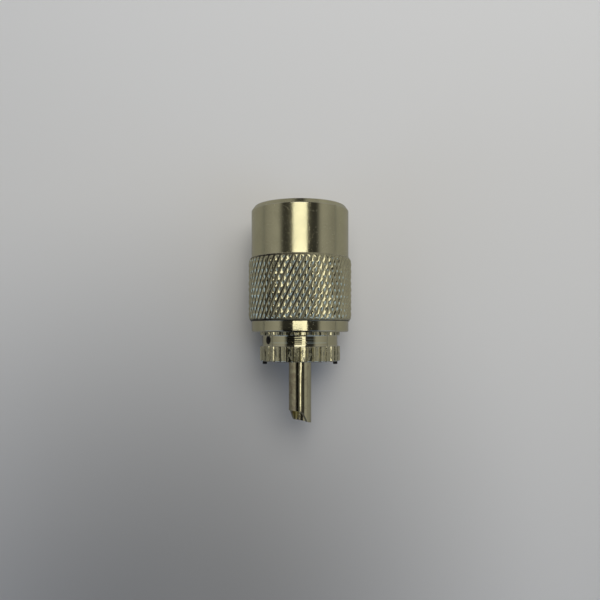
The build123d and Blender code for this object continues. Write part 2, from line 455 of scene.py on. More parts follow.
def as_mesh(shape, name):
    """Turn a shape in the making into a plain mesh."""
    made = bpy.data.meshes.new(name)
    shape.to_mesh(made)
    shape.free()
    return made


# Turned shapes


# How far a turned or moulded edge is rounded
CRISP = 0.04 * MM
FINE = 0.05 * MM
BROKEN = 0.06 * MM
EASED = 0.08 * MM
SOFT = 0.1 * MM
BLUNT = 0.12 * MM
MOULDED = 0.15 * MM

# A rounding has this many steps, leaves a narrow flat beside it and takes at most this part of an edge
ARC_STEPS = 3
GUARD = 0.06 * MM
EDGE_SHARE = 0.45


def soften(corners):
    """Round the corners of an open outline. Gives rows of (radius, height, edge, tooth).

    A corner is (radius, height), followed by its rounding and its tooth mark where it has them.
    """
    rows = []
    for place, corner in enumerate(corners):
        radius, height, rounding, tooth = (*corner, 0, 0)[:4]
        if rounding == 0:
            rows.append((radius, height, 0.0, tooth))
            continue
        here = Vector((radius, height))
        back = Vector(corners[place - 1][:2]) - here
        ahead = Vector(corners[(place + 1) % len(corners)][:2]) - here
        to_back, to_ahead = back.normalized(), ahead.normalized()
        half = back.angle(ahead) / 2
        reach = min(rounding / tan(half), EDGE_SHARE * back.length, EDGE_SHARE * ahead.length)
        middle = here + (to_back + to_ahead).normalized() * reach / cos(half)
        first = here + to_back * reach - middle
        last = here + to_ahead * reach - middle
        sweep = first.angle(last)
        long_edge = 2 * reach + 6 * GUARD
        if back.length > long_edge:
            rows.append((*(here + to_back * (reach + GUARD)), 0.0, tooth))
        for step in range(ARC_STEPS + 1):
            part = step / ARC_STEPS
            turned = middle + (first * sin((1 - part) * sweep) + last * sin(part * sweep)) / sin(sweep)
            rows.append((*turned, 1.0, tooth))
        if ahead.length > long_edge:
            rows.append((*(here + to_ahead * (reach + GUARD)), 0.0, tooth))
    return rows


# Keeps a vertex at angle 0 from being sorted last by its rounding
HAIR = 0.0001


def bearing(vert):
    """The angle of a vertex round the axis, from 0 to a full turn."""
    return (atan2(vert.co.y, vert.co.x) + HAIR) % FULL_TURN


class Skin:
    """A mesh in the making, whose rings of vertices run round the axis."""

    def __init__(self):
        self.mesh = bmesh.new()
        self.edge = self.mesh.verts.layers.float.new("edge")
        self.tooth = self.mesh.verts.layers.float.new("tooth")
        self.groove = self.mesh.verts.layers.float.new("groove")

    def lathe(self, corners, segments):
        """Turn an outline round the axis. Gives the first and the last ring."""
        rings = []
        for radius, height, edge, tooth in soften(corners):
            ring = []
            for place in range(segments):
                angle = FULL_TURN * place / segments
                vert = self.mesh.verts.new((radius * cos(angle), radius * sin(angle), height))
                vert[self.edge] = edge
                vert[self.tooth] = tooth
                ring.append(vert)
            rings.append(ring)
        for low, high in zip(rings, rings[1:]):
            for place in range(segments):
                after = (place + 1) % segments
                self.mesh.faces.new((low[place], low[after], high[after], high[place]))
        return rings[0], rings[-1]

    def mark_darkening(self, verts, amount):
        """Mark vertices as grooves, where dirt gathers and shade is painted."""
        for vert in verts:
            vert[self.groove] = amount

    def sheet(self, made):
        """Take in a sheet made by a node tree. Gives its lowest and highest border."""
        before = set(self.mesh.verts)
        self.mesh.from_mesh(made)
        fresh = [vert for vert in self.mesh.verts if vert not in before]
        rim = [vert for vert in fresh if any(edge.is_boundary for edge in vert.link_edges)]
        middle = (min(vert.co.z for vert in rim) + max(vert.co.z for vert in rim)) / 2
        low = [vert for vert in rim if vert.co.z < middle]
        high = [vert for vert in rim if vert.co.z > middle]
        return sorted(low, key=bearing), sorted(high, key=bearing)

    def zip(self, first, second):
        """Fill the band between two rings whose vertices are sorted by angle."""
        a, b = 0, 0
        angles_a = [bearing(vert) for vert in first] + [bearing(first[0]) + FULL_TURN]
        angles_b = [bearing(vert) for vert in second] + [bearing(second[0]) + FULL_TURN]
        while a < len(first) or b < len(second):
            here, there = first[a % len(first)], second[b % len(second)]
            if b == len(second) or (a < len(first) and angles_a[a + 1] <= angles_b[b + 1]):
                a += 1
                self.mesh.faces.new((here, first[a % len(first)], there))
            else:
                b += 1
                self.mesh.faces.new((here, second[b % len(second)], there))

    def screw(self, below, above, **settings):
        """Grow a screw thread between two rings."""
        low, high = self.sheet(grow(thread_tree(), bpy.data.meshes.new("seed"), **settings))
        self.zip(below, low)
        self.zip(above, high)

    def finish(self, name):
        """Point the faces outwards and give the mesh."""
        bmesh.ops.recalc_face_normals(self.mesh, faces=self.mesh.faces)
        return as_mesh(self.mesh, name)


def turned_solid(corners, segments):
    """A closed shape turned round the axis from an open outline, with a flat face at each end."""
    skin = Skin()
    for ring in skin.lathe(corners, segments):
        skin.mesh.faces.new(ring)
    return skin.finish("turned")


def bar(corners, width):
    """A closed bar along the Y axis, whose section is given by corners of (x, height)."""
    shape = bmesh.new()
    rows = soften(corners)
    ends = [[shape.verts.new((row[0], side * width / 2, row[1])) for row in rows] for side in (-1, 1)]
    for end in ends:
        shape.faces.new(end)
    for place in range(len(rows)):
        after = (place + 1) % len(rows)
        shape.faces.new((ends[0][place], ends[0][after], ends[1][after], ends[1][place]))
    bmesh.ops.recalc_face_normals(shape, faces=shape.faces)
    return as_mesh(shape, "bar")


def carve(made, cutters, operation="DIFFERENCE"):
    """Cut closed shapes out of a mesh, or add them to it."""
    carrier = add_object("carrier", made)
    things = [add_object("cutter", cutter) for cutter in cutters]
    for thing in things:
        cut = carrier.modifiers.new("cut", "BOOLEAN")
        cut.operation = operation
        cut.solver = "EXACT"
        cut.object = thing
    cut_mesh = settle(carrier)
    for thing in things:
        bpy.data.objects.remove(thing)
    return cut_mesh


def moved(made, *steps):
    """Place a mesh by matrices that are applied from the last to the first."""
    whole = Matrix.Identity(4)
    for step in steps:
        whole = whole @ step
    made.transform(whole)
    return made


def spun(angle, axis="Z"):
    """A turn about an axis."""
    return Matrix.Rotation(angle, 4, axis)


# Threads and serrations


# Steps from turn to turn, and the part of a flank's climb that is flat at its crest and at its root
THREAD_STEPS = 8.0
THREAD_FLAT = 0.12
THREAD_WELD = 0.003 * MM

# A plain strip between a thread and the turned shape beside it
STRIP = 0.06 * MM


def thread_tree():
    """A screw thread as a sheet that climbs round the axis and fades to a plain circle at both ends."""
    lengths = ("Pitch", "Base", "Depth", "Start", "End", "Run Out")
    board, given = shape_tree("Screw thread", ("Columns",), lengths)
    start, end = given["Start"], given["End"]
    turns = board.plus(board.math("CEIL", board.over(board.minus(end, start), given["Pitch"])), 1.0)
    rows = board.plus(board.times(turns, THREAD_STEPS), 1.0)
    columns = board.plus(given["Columns"], 1.0)
    grid = board.wire(board.node("GeometryNodeMeshGrid"), {"Vertices X": columns, "Vertices Y": rows})
    index = board.call("GeometryNodeInputIndex")
    column = board.math("FLOOR", board.over(board.plus(index, 0.5), rows))
    row = board.minus(index, board.times(column, rows))
    round_share = board.over(column, given["Columns"])
    angle = board.times(round_share, FULL_TURN)
    climbed = board.plus(board.minus(board.over(row, THREAD_STEPS), 1.0), round_share)
    free = board.weigh(start, (climbed, given["Pitch"]))
    height = board.least(board.most(free, start), end)
    phase = board.math("FRACT", board.over(row, THREAD_STEPS))
    wave = board.times(board.math("ABSOLUTE", board.minus(phase, 0.5)), 2.0)
    tooth = board.ramp(wave, THREAD_FLAT, 1.0 - THREAD_FLAT)
    inside = board.least(board.minus(height, start), board.minus(end, height))
    fade = board.ramp(inside, 0.0, given["Run Out"], smooth=True)
    radius = board.weigh(given["Base"], (board.times(tooth, fade), given["Depth"]))
    bent = board.put(grid, board.polar(radius, angle, height))
    whole = board.call("GeometryNodeMergeByDistance", bent, None, THREAD_WELD)
    return close_tree(board, whole, given["Material"])


def serration_tree():
    """Straight V cuts along the axis, wherever the mesh is marked as toothed."""
    board, given = shape_tree("Serrations", ("Teeth",), ("Depth", "Land Share"))
    marked = board.noted("tooth")
    here = board.here()
    x, y, z = board.split(here)
    turned = board.times(board.over(board.math("ARCTAN2", y, x), FULL_TURN), given["Teeth"])
    phase = board.math("FLOORED_MODULO", turned, 1.0)
    off = board.math("ABSOLUTE", board.minus(phase, 0.5))
    half_cut = board.times(board.minus(1.0, given["Land Share"]), 0.5)
    cut = board.ramp(off, half_cut, 0.0)
    ragged = board.ramp(board.noise(here, scale=500.0, detail=2.0), 0.3, 0.7, 0.86, 1.06)
    deep = board.times(cut, given["Depth"], board.times(marked, ragged))
    # The groove mark darkens the cuts with dirt and painted shade
    noted = board.note(given["Geometry"], "groove", board.times(cut, marked))
    return close_tree(board, board.sink(noted, here, deep), given["Material"])


# Knurl


# Grid lines of a diamond, denser along its grooves
CELL_LINES = (-1.0, -0.8, -0.5, -0.18, 0.18, 0.5, 0.8, 1.0)

# The tip of a diamond is round up to this part of the way to its grooves
ROUND_SHARE = 0.5

# Slope of the half diamonds at the ends of the band
END_SLOPE = 0.65

KNURL_WELD = 0.004 * MM


def knurl_tree():
    """Diamonds set in crossing rows round the axis."""
    lengths = ("Row Height", "Low", "Root", "Depth", "Wear")
    board, given = shape_tree("Knurl rows", ("Starts", "Rows", "First Row"), lengths)
    step = board.over(FULL_TURN, given["Starts"])
    points, spin = diamond_places(board, given, step)
    rotation = board.call("FunctionNodeEulerToRotation", board.vector(0.0, 0.0, spin))
    shape = diamond(board, given, step)
    placed = board.call("GeometryNodeInstanceOnPoints", points, None, shape, None, None, rotation)
    worn = wear(board, given, board.call("GeometryNodeRealizeInstances", placed))
    whole = board.call("GeometryNodeMergeByDistance", worn, None, KNURL_WELD)
    return close_tree(board, whole, given["Material"])


def diamond(board, given, step):
    """One diamond bent round the axis, with its grooves marked."""
    across, up, relief = board.split(board.here())
    # The groove mark darkens the valleys with dirt and painted shade, and guides the wear
    marked = board.note(given["Geometry"], "groove", board.minus(1.0, relief))
    radius = board.weigh(given["Root"], (relief, given["Depth"]))
    height = board.times(up, given["Row Height"])
    return board.put(marked, board.polar(radius, board.times(across, step), height))


def diamond_places(board, given, step):
    """A point on the axis and a turn for each diamond, with every other row set off by half a step."""
    count = board.times(given["Starts"], given["Rows"])
    line = board.wire(board.node("GeometryNodeMeshLine"), {"Count": count})
    index = board.call("GeometryNodeInputIndex")
    place = board.math("FLOORED_MODULO", index, given["Starts"])
    row = board.plus(board.math("FLOOR", board.over(index, given["Starts"])), given["First Row"])
    half = board.times(board.math("FLOORED_MODULO", row, 2.0), 0.5)
    spin = board.times(board.plus(place, half, 0.5), step)
    height = board.weigh(given["Low"], (row, given["Row Height"]))
    return board.put(line, board.vector(0.0, 0.0, height)), spin


def wear(board, given, geometry):
    """Lower the tips of the diamonds unevenly."""
    here = board.here()
    uneven = board.ramp(board.noise(here, scale=1700.0, detail=2.0), 0.35, 0.7)
    lost = board.times(uneven, given["Wear"], given["Depth"], board.minus(1.0, board.noted("groove")))
    return board.sink(geometry, here, lost)


def relief(u, v, shallow):
    """Height on a cell of the knurl: 1 on its round tip, 0 in the deeper grooves."""
    flank = ROUND_SHARE * (1 - ROUND_SHARE)
    rib, cut = [t * t if t < ROUND_SHARE else t - flank for t in (abs(u), abs(v))]
    return 1 - max(rib, shallow * cut) / (1 - flank)


def cell(half, shallow, end_slope):
    """One cell of the knurl in steps across, rows up and relief.

    It is the whole cell where half is 0, its upper half where it is 1 and its lower half where it is -1.
    """
    shape = bmesh.new()
    grid = {}
    for i, u in enumerate(CELL_LINES):
        for j, v in enumerate(CELL_LINES):
            across, up = (u + v) / 4, (v - u) / 2
            if half * up < 0:
                continue
            high = relief(u, v, shallow)
            if half:
                high = min(high, end_slope * abs(up))
            grid[i, j] = shape.verts.new((across, up, high))
    last = len(CELL_LINES) - 1
    for i in range(last):
        for j in range(last):
            corners = ((i, j), (i + 1, j), (i + 1, j + 1), (i, j + 1))
            there = [grid[spot] for spot in corners if spot in grid]
            if len(there) > 2:
                shape.faces.new(there)
    return as_mesh(shape, "knurl cell")


def knurl(skin, sizes, material):
    """The knurled band of the ring. Gives its lowest and highest border."""
    root = sizes.knurl_crest - sizes.knurl_depth
    rise = root - sizes.knurl_foot
    row_height = (sizes.knurl_length - 2 * rise) / sizes.knurl_rows
    end_slope = END_SLOPE * row_height / sizes.knurl_depth
    tree = knurl_tree()
    together = bmesh.new()
    for half, first, rows in ((0, 1, sizes.knurl_rows - 1), (1, 0, 1), (-1, sizes.knurl_rows, 1)):
        made = grow(
            tree,
            cell(half, sizes.knurl_cut_share, end_slope),
            starts=sizes.knurl_starts,
            rows=rows,
            first_row=first,
            row_height=row_height,
            low=sizes.sleeve_length + rise,
            root=root,
            depth=sizes.knurl_depth,
            wear=sizes.knurl_wear,
            material=material,
        )
        together.from_mesh(made)
    bmesh.ops.remove_doubles(together, verts=together.verts, dist=KNURL_WELD)
    return skin.sheet(as_mesh(together, "knurl"))


# Materials


BLACK = (0.0, 0.0, 0.0, 1.0)

# Middle and radii of the shadow painted into the paper's colour
PAINTED_SHADOW_SPOT = Vector((22, 0, 80)) * MM
PAINTED_SHADOW_REACH = Vector((62, 0, 75)) * MM


def surface(name):
    """A new material. Gives it, its board, its shader and its object coordinates."""
    made = bpy.data.materials.new(name)
    made.use_nodes = True
    made.node_tree.nodes.clear()
    board = Board(made.node_tree)
    shader = board.node("ShaderNodeBsdfPrincipled")
    board.feed(board.node("ShaderNodeOutputMaterial").inputs["Surface"], shader.outputs[0])
    place = board.node("ShaderNodeTexCoord").outputs["Object"]
    return made, board, shader, place


def opaque(tint, part=1.0):
    """A colour of the finishes as a socket takes it, made darker where a part is given."""
    return (*[value * part for value in tint], 1.0)


def mark(board, name):
    """The value of a mark on the mesh."""
    return board.node("ShaderNodeAttribute", attribute_name=name).outputs["Fac"]


def emboss(board, shader, height, strength, distance):
    """Give a surface fine relief."""
    sockets = {"Strength": strength, "Distance": distance, "Height": height}
    board.feed(shader.inputs["Normal"], board.wire(board.node("ShaderNodeBump"), sockets))


def nickel_plate(name, roughness, lines, spots=0.0):
    """Nickel plate over turned brass: fine tool lines, small pits, dirt and painted shade in the grooves and
    worn edges.
    """
    finish = bpy.context.scene.plug_finishes
    ring = bpy.context.scene.plug_ring
    made, board, shader, place = surface(name)
    x, y, z = board.split(place)
    radius = board.far(x, y)
    cloud = board.noise(place, scale=260.0, detail=4.0)
    pits = board.ramp(board.noise(place, scale=5200.0, detail=2.0), 0.64, 0.76)
    tooth = mark(board, "tooth")
    knurled = board.ramp(radius, ring.sleeve_radius + 0.03 * MM, ring.sleeve_radius + 0.08 * MM)
    dirt_and_shade = plate_dirt_and_shade(board, place, cloud, tooth)
    base = board.blend(board.ramp(cloud, 0.3, 0.75), opaque(finish.nickel), opaque(finish.nickel, 0.86))
    base = board.blend(board.times(mark(board, "edge"), 0.35), base, opaque(finish.worn))
    # Dirt and painted shade darken the plate towards the grime colour
    base = board.blend(dirt_and_shade, base, opaque(finish.grime_and_shade))
    knurl_end = ring.sleeve_length + ring.knurl_length
    finer = board.ramp(z, knurl_end - 0.1 * MM, knurl_end + 0.1 * MM, 1.0, 0.5)
    satin = board.times(board.ramp(cloud, 0.25, 0.8, roughness - 0.03, roughness + 0.07), finer)
    rough = board.weigh(satin, (dirt_and_shade, 0.5), (pits, 0.2), (tooth, 0.05), (knurled, -0.09))
    if spots:
        stain = board.times(plate_stain(board, place), spots)
        base = board.blend(stain, base, opaque(finish.tarnish))
        rough = board.weigh(rough, (stain, 0.25))
    metallic = board.minus(1.0, board.times(dirt_and_shade, 0.9))
    sockets = {"Base Color": base, "Roughness": rough, "Metallic": metallic, "Specular IOR Level": 0.2}
    board.wire(shader, sockets)
    height = plate_relief(board, place, radius, tooth, knurled, pits, lines)
    emboss(board, shader, height, 0.6, 0.004 * MM)
    return made


def plate_dirt_and_shade(board, place, cloud, tooth):
    """How dark the plate is: dirt and painted shade in its grooves, dirty specks on the serrations and where
    it was filed.

    The painted shade in the grooves is lighter on one side. Where the groove mark is above 1, the plate is
    fully darkened: painted shade with dirt in the creases of the knurl and in the punched mark, and the dark
    tabs.
    """
    x, y, z = board.split(place)
    groove = mark(board, "groove")
    uneven = board.ramp(cloud, 0.3, 0.6, 0.75, 1.0)
    # Painted shade: the groove darkening is full towards +X and halved towards -X
    side = board.ramp(x, -4.0 * MM, 2.0 * MM, 0.5, 1.0, smooth=True)
    grooves = board.times(board.ramp(groove, 0.45, 0.72), uneven, side)
    # Full darkening where the mark is above 1
    fully_darkened = board.ramp(groove, 1.1, 1.5)
    streaks = board.noise(board.vector(x, y, board.times(z, 0.4)), scale=2600.0, detail=3.0, roughness=0.6)
    specks = board.times(board.ramp(streaks, 0.5, 0.66), tooth, 0.75)
    filed = board.times(mark(board, "filed"), 0.6)
    return board.most(grooves, fully_darkened, specks, filed)


def plate_stain(board, place):
    """Brown spots, thicker on one side."""
    x, y, z = board.split(place)
    side = board.ramp(board.minus(board.times(x, 0.9), board.times(y, 0.35)), -0.4 * MM, 2.2 * MM)
    blotch = board.noise(place, scale=900.0, detail=5.0, roughness=0.65)
    return board.ramp(board.weigh(blotch, (side, 0.22)), 0.56, 0.74)


def plate_relief(board, place, radius, tooth, knurled, pits, lines):
    """Tool lines round the axis, lines along the serrations, a rough knurl, pits and an uneven ground."""
    x, y, z = board.split(place)
    wound = board.vector(board.times(x, 0.02), board.times(y, 0.02), board.plus(z, radius))
    tool = board.noise(wound, scale=9000.0, detail=3.0, roughness=0.6)
    drawn = board.noise(board.vector(x, y, board.times(z, 0.03)), scale=7000.0, detail=2.0)
    pressed = board.noise(place, scale=3600.0, detail=3.0)
    ripple = board.noise(place, scale=1500.0, detail=3.0)
    grain = board.noise(place, scale=5000.0, detail=2.0)
    return board.weigh(
        board.times(tool, lines),
        (board.times(drawn, tooth), 3.5),
        (board.times(pressed, knurled), 4.0),
        (pits, -1.6),
        (ripple, 1.2),
        (grain, 0.3 + lines),
    )


def brown_resin():
    """Moulded brown resin with a faint mottle and a satin skin."""
    finish = bpy.context.scene.plug_finishes
    made, board, shader, place = surface("brown resin")
    mottle = board.noise(place, scale=1400.0, detail=5.0, roughness=0.6)
    grain = board.noise(place, scale=9000.0, detail=3.0)
    base = board.blend(board.ramp(mottle, 0.35, 0.7), opaque(finish.resin), opaque(finish.resin, 0.45))
    board.wire(shader, {"Base Color": base, "Roughness": board.ramp(grain, 0.3, 0.7, 0.36, 0.55)})
    emboss(board, shader, board.plus(grain, mottle), 0.5, 0.01 * MM)
    return made


def pale_paper():
    """Matt paper with a painted shadow past the pin and painted shade where the metal reflects it, which is
    seen from its front only.
    """
    finish = bpy.context.scene.plug_finishes
    made, board, shader, place = surface("pale paper")
    x, y, z = board.split(place)
    fibre = board.noise(place, scale=2600.0, detail=5.0, roughness=0.6)
    # Painted shadow: the paper's colour darkens to about half towards a spot past the pin
    aside = board.over(board.minus(x, PAINTED_SHADOW_SPOT.x), PAINTED_SHADOW_REACH.x)
    ahead = board.over(board.minus(z, PAINTED_SHADOW_SPOT.z), PAINTED_SHADOW_REACH.z)
    shade = board.ramp(board.far(aside, ahead), 0.1, 1.25, 0.95, 0.0, smooth=True)
    tone = board.blend(shade, opaque(finish.paper), opaque(finish.paper, 0.5))
    # Painted shade: in reflections on the metal the paper's colour is darker by almost half
    mirrored = board.node("ShaderNodeLightPath").outputs["Is Glossy Ray"]
    tone = board.blend(board.times(mirrored, 0.45), tone, BLACK)
    board.wire(shader, {"Base Color": tone, "Roughness": 0.85})
    emboss(board, shader, fibre, 0.25, 0.03 * MM)
    clear = board.node("ShaderNodeBsdfTransparent").outputs[0]
    behind = board.node("ShaderNodeNewGeometry").outputs["Backfacing"]
    mixed = board.call("ShaderNodeMixShader", behind, shader.outputs[0], clear)
    board.feed(made.node_tree.nodes["Material Output"].inputs["Surface"], mixed)
    return made


def card_board(name, glow):
    """Matt black card with a glow that stands for light from the room."""
    made, board, shader, place = surface(name)
    board.wire(shader, {"Base Color": (0.012, 0.012, 0.012, 1.0), "Roughness": 1.0})
    board.wire(shader, {"Emission Color": (1.0, 1.0, 0.95, 1.0), "Emission Strength": glow})
    return made


# Pieces


# Edges with a larger angle than this one aren't smoothed
SHARP_ANGLE = radians(31.0)

# Groove marks: a trace of dirt and painted shade, painted shade in the bore of the pin, and full darkening
FAINT_DIRT_AND_SHADE = 0.5
BORE_SHADE = 0.6
FULL_DARKENING = 2.0

# How far the full darkening of a tab and the painted shade in the punched mark reach, as a multiple of their
# own size
TAB_MARGIN = 1.1
STAKE_MARGIN = 1.2

# Fine turned grooves of the neck, as (place, half width, depth) in millimetres
NECK_GROOVES = (
    (23.12, 0.03, 0.005),
    (23.46, 0.045, 0.012),
    (23.83, 0.03, 0.007),
    (24.08, 0.035, 0.01),
    (24.31, 0.03, 0.006),
)
NECK_GUARD = 0.02

# How much wider a solder hole is at places past the barrel's surface, in millimetres
HOLE_MOUTH = ((0, -0.28), (0.22, 0.02), (0.3, 0.5))


def piece(name, made, material, body, node):
    """Dress a finished mesh, let it ride on its body and stand for its node."""
    made.materials.clear()
    made.materials.append(material)
    made.polygons.foreach_set("material_index", [0] * len(made.polygons))
    made.shade_smooth()
    made.set_sharp_from_angle(angle=SHARP_ANGLE)
    thing = add_object(name, made)
    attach(thing, body)
    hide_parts(node)
    return thing


class MakeRing(bpy.types.Operator):
    """Make the knurled coupling ring"""

    bl_idname = "antenna_plug.coupling_ring"
    bl_label = "Coupling ring"

    def execute(self, context):
        sizes = context.scene.plug_ring
        threads = context.scene.plug_threads
        finish = context.scene.plug_finishes
        plate = nickel_plate("nickel plate, ring", finish.ring_roughness, finish.ring_lines)
        skin = Skin()
        segments = 288
        inner, rear = skin.lathe(self.rear_outline(sizes, threads), segments)
        front, outer = skin.lathe(self.front_outline(sizes, threads), segments)
        # Painted shade with some dirt in the creases where the knurl meets the smooth ring: a trace at the
        # rear, full at the front
        skin.mark_darkening(rear, FAINT_DIRT_AND_SHADE)
        skin.mark_darkening(front, FULL_DARKENING)
        low, high = knurl(skin, sizes, plate)
        skin.zip(rear, low)
        skin.zip(high, front)
        skin.screw(
            inner,
            outer,
            columns=segments // 2,
            pitch=threads.coupling_pitch,
            base=threads.coupling_minor,
            depth=threads.coupling_major - threads.coupling_minor,
            start=sizes.thread_start + 2 * STRIP,
            end=sizes.length - sizes.bore_chamfer - 2 * STRIP,
            run_out=threads.run_out,
            material=plate,
        )
        piece("knurled_ring", skin.finish("knurled_ring"), plate, "ring", "coupling_ring")
        return {"FINISHED"}

    def rear_outline(self, sizes, threads):
        """From the thread over the rear end to the knurl."""
        return (
            (threads.coupling_minor, sizes.thread_start + STRIP),
            (threads.coupling_minor, sizes.thread_start),
            (sizes.relief_radius, sizes.thread_start),
            (sizes.relief_radius, sizes.lip_length, SOFT),
            (sizes.lip_radius, sizes.lip_length, EASED),
            (sizes.lip_radius, sizes.bore_chamfer, FINE),
            (sizes.lip_radius + sizes.bore_chamfer, 0.0, FINE),
            (sizes.sleeve_radius - sizes.end_chamfer, 0.0, BROKEN),
            (sizes.sleeve_radius, sizes.end_chamfer_length, BLUNT),
            (sizes.sleeve_radius, sizes.sleeve_length, CRISP),
            (sizes.knurl_foot, sizes.sleeve_length),
        )

    def front_outline(self, sizes, threads):
        """From the knurl over the front end to the thread."""
        knurl_end = sizes.sleeve_length + sizes.knurl_length
        return (
            (sizes.knurl_foot, knurl_end),
            (sizes.sleeve_radius, knurl_end, CRISP),
            (sizes.sleeve_radius, sizes.length - sizes.front_chamfer, BROKEN),
            (sizes.sleeve_radius - sizes.front_chamfer, sizes.length, BROKEN),
            (threads.coupling_minor + sizes.bore_chamfer, sizes.length, FINE),
            (threads.coupling_minor, sizes.length - sizes.bore_chamfer),
            (threads.coupling_minor, sizes.length - sizes.bore_chamfer - STRIP),
        )


class MakeBody(bpy.types.Operator):
    """Make the plug body with its threads, serrations, tabs and solder holes"""

    bl_idname = "antenna_plug.plug_body"
    bl_label = "Plug body"

    def execute(self, context):
        sizes = context.scene.plug_body
        threads = context.scene.plug_threads
        finish = context.scene.plug_finishes
        plate = nickel_plate("nickel plate, body", finish.body_roughness, finish.body_lines)
        skin = Skin()
        segments = 10 * sizes.teeth
        bore_in, rear_out = skin.lathe(self.rear_outline(sizes, threads), segments)
        waist_out, bore_out = skin.lathe(self.front_outline(sizes, threads), segments)
        skin.screw(
            rear_out,
            waist_out,
            columns=segments // 2,
            pitch=threads.coupling_pitch,
            base=threads.body_root,
            depth=threads.body_major - threads.body_root,
            start=sizes.thread_start + 2 * STRIP,
            end=sizes.waist_start - 2 * STRIP,
            run_out=threads.run_out / 2,
            material=plate,
        )
        skin.screw(
            bore_in,
            bore_out,
            columns=segments // 2,
            pitch=threads.cable_pitch,
            base=threads.cable_minor,
            depth=threads.cable_depth,
            start=sizes.lead_in + 2 * STRIP,
            end=threads.cable_length - STRIP,
            run_out=threads.run_out,
            material=plate,
        )
        made = grow(
            serration_tree(),
            skin.finish("plug_body"),
            teeth=sizes.teeth,
            depth=sizes.tooth_depth,
            land_share=sizes.land_share,
            material=plate,
        )
        made = carve(made, [self.tab(sizes, angle) for angle in (0, pi)], "UNION")
        holes = [self.hole(sizes, pi / 4 + side * pi / 2) for side in range(4)]
        made = carve(made, holes + [self.stake(sizes)])
        self.mark_darkening(made, sizes)
        piece("turned_body", made, plate, "body", "plug_body")
        return {"FINISHED"}

    def rear_outline(self, sizes, threads):
        """From the thread of the cable entry over the rear end to the outside thread."""
        return (
            (threads.cable_minor, sizes.lead_in + STRIP),
            (threads.cable_minor, sizes.lead_in),
            (threads.cable_minor + sizes.lead_in, 0.0, FINE),
            (sizes.barrel_radius - sizes.chamfer, 0.0, FINE),
            (sizes.barrel_radius, sizes.chamfer, FINE),
            (sizes.barrel_radius, sizes.thread_start, BLUNT),
            (threads.body_root, sizes.thread_start),
            (threads.body_root, sizes.thread_start + STRIP),
        )

    def front_outline(self, sizes, threads):
        """From the outside thread over the front end to the thread of the cable entry."""
        neck = sizes.neck_radius
        rows = [
            (threads.body_root, sizes.waist_start - STRIP),
            (threads.body_root, sizes.waist_start),
            (sizes.waist_radius, sizes.waist_start),
            (sizes.waist_radius, sizes.collar_start),
            (sizes.collar_radius, sizes.collar_start, 0, 1),
            (sizes.collar_radius, sizes.neck_start, BROKEN, 1),
            (neck, sizes.neck_start, FINE),
        ]
        for place, half, depth in NECK_GROOVES:
            outer = half + NECK_GUARD
            for shift, sink in ((-outer, 0.0), (-half, 0.0), (0.0, depth), (half, 0.0), (outer, 0.0)):
                rows.append((neck - sink * MM, (place + shift) * MM))
        return rows + [
            (neck, sizes.rim_start, FINE),
            (sizes.rim_radius, sizes.rim_start, BROKEN, 1),
            (sizes.rim_radius, sizes.front, BLUNT, 1),
            (sizes.seat_radius, sizes.front, SOFT),
            (sizes.seat_radius, sizes.seat_start),
            (sizes.hub_hole, sizes.seat_start),
            (sizes.hub_hole, sizes.web_start),
            (sizes.inner_bore, sizes.web_start, FINE),
            (sizes.inner_bore, sizes.bore_end, FINE),
            (threads.cable_minor, sizes.bore_end, FINE),
            (threads.cable_minor, threads.cable_length),
        ]

    def mark_darkening(self, made, sizes):
        """Mark the tabs and the punched mark to be fully darkened: dark tabs, and painted shade with dirt in
        the punched mark.
        """
        punched = Vector((cos(sizes.stake_angle), sin(sizes.stake_angle), 0)) * sizes.neck_radius
        punched.z = sizes.stake_place
        reach = STAKE_MARGIN * sizes.stake_width / 2
        inside = sizes.tab_radius - TAB_MARGIN * sizes.tab_wall
        half = TAB_MARGIN * sizes.tab_width / 2
        front = sizes.front - 0.02 * MM
        for vert, value in zip(made.vertices, made.attributes["groove"].data):
            x, y, z = vert.co
            on_tab = abs(x) > inside and abs(y) < half and z > front
            # Tabs are made fully dark; the punched mark gets painted shade and dirt
            if on_tab or (vert.co - punched).length < reach:
                value.value = FULL_DARKENING

    def tab(self, sizes, angle):
        """One locating tab with soft edges."""
        low, high = sizes.front - sizes.tab_root, sizes.front + sizes.tab_height
        shape = bmesh.new()
        bmesh.ops.create_cube(shape, size=1.0)
        bmesh.ops.bevel(shape, geom=shape.edges, offset=0.1, segments=3, affect="EDGES", profile=0.5)
        scale = Matrix.Diagonal((sizes.tab_wall, sizes.tab_width, high - low, 1.0))
        middle = Matrix.Translation((sizes.tab_radius - sizes.tab_wall / 2, 0, (low + high) / 2))
        return moved(as_mesh(shape, "tab"), spun(angle), middle, scale)

    def hole(self, sizes, angle):
        """A solder hole with a broken edge, as a closed shape to cut away."""
        radius, wall = sizes.hole_radius, sizes.barrel_radius
        mouth = [(radius + wider * MM, wall + out * MM) for wider, out in HOLE_MOUTH]
        drill = turned_solid([(radius, 0), *mouth], segments=64)
        up = Matrix.Translation((0, 0, sizes.hole_place))
        return moved(drill, spun(angle), up, spun(pi / 2, "Y"))

    def stake(self, sizes):
        """The cone of the punched mark, as a closed shape to cut away."""
        half, depth = sizes.stake_width / 2, sizes.stake_depth
        corners = ((FINE, 0), (half, depth), (1.1 * half, depth + 0.2 * MM))
        up = Matrix.Translation((0, 0, sizes.stake_place))
        out = Matrix.Translation((sizes.neck_radius - depth + 0.02 * MM, 0, 0))
        cone = turned_solid(corners, segments=40)
        return moved(cone, up, spun(sizes.stake_angle), out, spun(pi / 2, "Y"))


